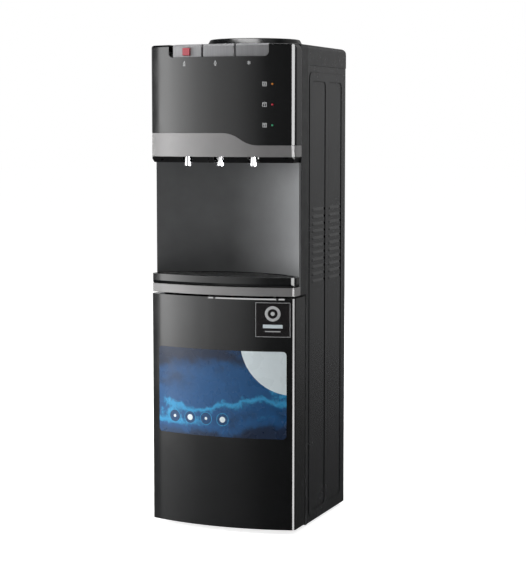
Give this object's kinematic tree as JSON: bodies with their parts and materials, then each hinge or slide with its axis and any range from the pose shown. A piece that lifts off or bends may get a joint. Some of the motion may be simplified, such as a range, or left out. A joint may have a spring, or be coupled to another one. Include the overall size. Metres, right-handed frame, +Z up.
{
  "type": "water dispenser",
  "caption": "Floor-standing hot and cold water dispenser with a bowed dark front, push keys over taps in a round bay, a drip tray, a bottle collar and a storage door.",
  "frame": {"origin": "on the floor under the middle of the whole body", "axes": "+Z up, front towards -Y, +X to the right as the front is seen"},
  "size_m": [0.31, 0.3499, 0.982],
  "materials": {
    "steel_panels": "semi-gloss dark grey powder coat",
    "foot_rubber": "matt",
    "back_steel": "semi-gloss dark grey powder coat",
    "frame_plastic": "glossy dark grey",
    "black_gloss": "glossy black",
    "silver_gloss": "silver, soft sheen",
    "dark_trim": "satin dark grey",
    "bay_gloss": "glossy dark grey",
    "white_plastic": "satin white",
    "gasket_rubber": "soft matt",
    "label_film": "gloss printed film",
    "zinc_steel": "zinc plated",
    "grey_plastic": "satin grey",
    "key_plastic": "glossy dark silver",
    "red_plastic": "glossy red",
    "spring_steel": "bright wire",
    "tap_chrome": "bright plated",
    "stainless": "satin stainless",
    "foam": "pale insulating foam",
    "copper": "copper tube",
    "heater_metal": "heater band",
    "bakelite": "black moulded",
    "silicone": "translucent white silicone",
    "compressor_paint": "gloss black enamel",
    "condenser_paint": "satin black enamel",
    "board_green": "green laminate",
    "lens_clear": "clear lens"
  },
  "bodies": {
    "cabinet": {"base_pan": "steel_panels", "feet": "foot_rubber", "side_panel_left": "steel_panels", "side_panel_right": "steel_panels", "back_panel": "back_steel", "front_frame": "frame_plastic", "head_cover": "black_gloss", "wave_band": "silver_gloss", "tap_ceiling": "dark_trim", "bay_panel": "bay_gloss", "silver_strip": "silver_gloss", "top_cover": "frame_plastic", "door_hinges": "zinc_steel", "storage_liner": "white_plastic", "storage_shelf": "grey_plastic", "key_pin": "zinc_steel", "spring_hot": "spring_steel", "spring_normal": "spring_steel", "spring_cold": "spring_steel", "valve_bodies": "white_plastic", "tap_nozzles": "tap_chrome", "valve_carrier": "zinc_steel", "tank_rack": "zinc_steel", "cold_tank": "stainless", "foam_jacket": "foam", "evaporator_coil": "copper", "tank_baffle": "white_plastic", "hot_tank": "stainless", "hot_jacket": "foam", "heater_band": "heater_metal", "thermal_cutouts": "bakelite", "water_hoses": "silicone", "compressor": "compressor_paint", "compressor_mounts": "foot_rubber", "start_relay": "bakelite", "refrigerant_pipes": "copper", "condenser": "condenser_paint", "indicator_board": "board_green", "indicator_lenses": "lens_clear", "cord_gland": "bakelite", "screws": "zinc_steel"},
    "door": {"door_shell": "black_gloss", "door_liner": "white_plastic", "door_gasket": "gasket_rubber", "door_labels": "label_film"},
    "drip_tray": {"drip_tray": "black_gloss"},
    "drip_grille": {"drip_grille": "dark_trim"},
    "key_hot": {"key_hot": "key_plastic"},
    "key_normal": {"key_normal": "key_plastic"},
    "key_cold": {"key_cold": "key_plastic"},
    "child_lock": {"child_lock": "red_plastic"},
    "rod_hot": {"rod_hot": "white_plastic"},
    "rod_normal": {"rod_normal": "white_plastic"},
    "rod_cold": {"rod_cold": "white_plastic"},
    "bottle_seat": {"bottle_collar": "black_gloss", "bottle_probe": "white_plastic"},
    "heating_switch": {"heating_switch": "bakelite"},
    "cooling_switch": {"cooling_switch": "bakelite"},
    "thermostat_knob": {"thermostat_knob": "bakelite"},
    "drain_cap": {"drain_cap": "bakelite"}
  },
  "joints": [
    {"name": "door_hinge", "type": "hinge", "parent": "cabinet", "child": "door", "pos_m": [-0.148, -0.1105, 0.2395], "axis": [0, 0, -1], "range_deg": [0, 110]},
    {"name": "tray_slide", "type": "slide", "parent": "cabinet", "child": "drip_tray", "axis": [0, -1, 0], "range_m": [0, 0.12]},
    {"name": "grille_lift", "type": "slide", "parent": "drip_tray", "child": "drip_grille", "axis": [0, 0, 1], "range_m": [0, 0.03]},
    {"name": "key_hot_hinge", "type": "hinge", "parent": "cabinet", "child": "key_hot", "pos_m": [-0.067, -0.108, 0.948], "axis": [1, 0, 0], "range_deg": [0, 2.6], "stiffness_Nm_per_rad": 1, "springref_deg": -5.73},
    {"name": "key_normal_hinge", "type": "hinge", "parent": "cabinet", "child": "key_normal", "pos_m": [0.002, -0.108, 0.948], "axis": [1, 0, 0], "range_deg": [0, 2.6], "stiffness_Nm_per_rad": 1, "springref_deg": -5.73},
    {"name": "key_cold_hinge", "type": "hinge", "parent": "cabinet", "child": "key_cold", "pos_m": [0.071, -0.108, 0.948], "axis": [1, 0, 0], "range_deg": [0, 2.6], "stiffness_Nm_per_rad": 1, "springref_deg": -5.73},
    {"name": "rod_hot_slide", "type": "slide", "parent": "cabinet", "child": "rod_hot", "axis": [0, 0, -1], "range_m": [0, 0.002], "deforming": ["spring_hot"]},
    {"name": "rod_normal_slide", "type": "slide", "parent": "cabinet", "child": "rod_normal", "axis": [0, 0, -1], "range_m": [0, 0.002], "deforming": ["spring_normal"]},
    {"name": "rod_cold_slide", "type": "slide", "parent": "cabinet", "child": "rod_cold", "axis": [0, 0, -1], "range_m": [0, 0.002], "deforming": ["spring_cold"]},
    {"name": "lock_push", "type": "slide", "parent": "key_hot", "child": "child_lock", "axis": [0.1367, 0.9906, 0], "range_m": [0, 0.003], "stiffness_N_per_m": 200, "springref_m": -0.005},
    {"name": "seat_lift", "type": "slide", "parent": "cabinet", "child": "bottle_seat", "axis": [0, 0, 1], "range_m": [0, 0.05]},
    {"name": "heating_rocker", "type": "hinge", "parent": "cabinet", "child": "heating_switch", "pos_m": [-0.07, 0.149, 0.892], "axis": [-1, 0, 0], "range_deg": [0, 16]},
    {"name": "cooling_rocker", "type": "hinge", "parent": "cabinet", "child": "cooling_switch", "pos_m": [-0.035, 0.149, 0.892], "axis": [-1, 0, 0], "range_deg": [0, 16]},
    {"name": "knob_turn", "type": "hinge", "parent": "cabinet", "child": "thermostat_knob", "pos_m": [0.03, 0.15, 0.892], "axis": [0, -1, 0], "range_deg": [0, 270]},
    {"name": "drain_cap_off", "type": "slide", "parent": "cabinet", "child": "drain_cap", "axis": [0, 1, 0], "range_m": [0, 0.03]}
  ],
  "couplings": [
    {"joint": "rod_hot_slide", "follows": "key_hot_hinge", "m_per_rad": 0.042},
    {"joint": "rod_normal_slide", "follows": "key_normal_hinge", "m_per_rad": 0.042},
    {"joint": "rod_cold_slide", "follows": "key_cold_hinge", "m_per_rad": 0.042}
  ]
}
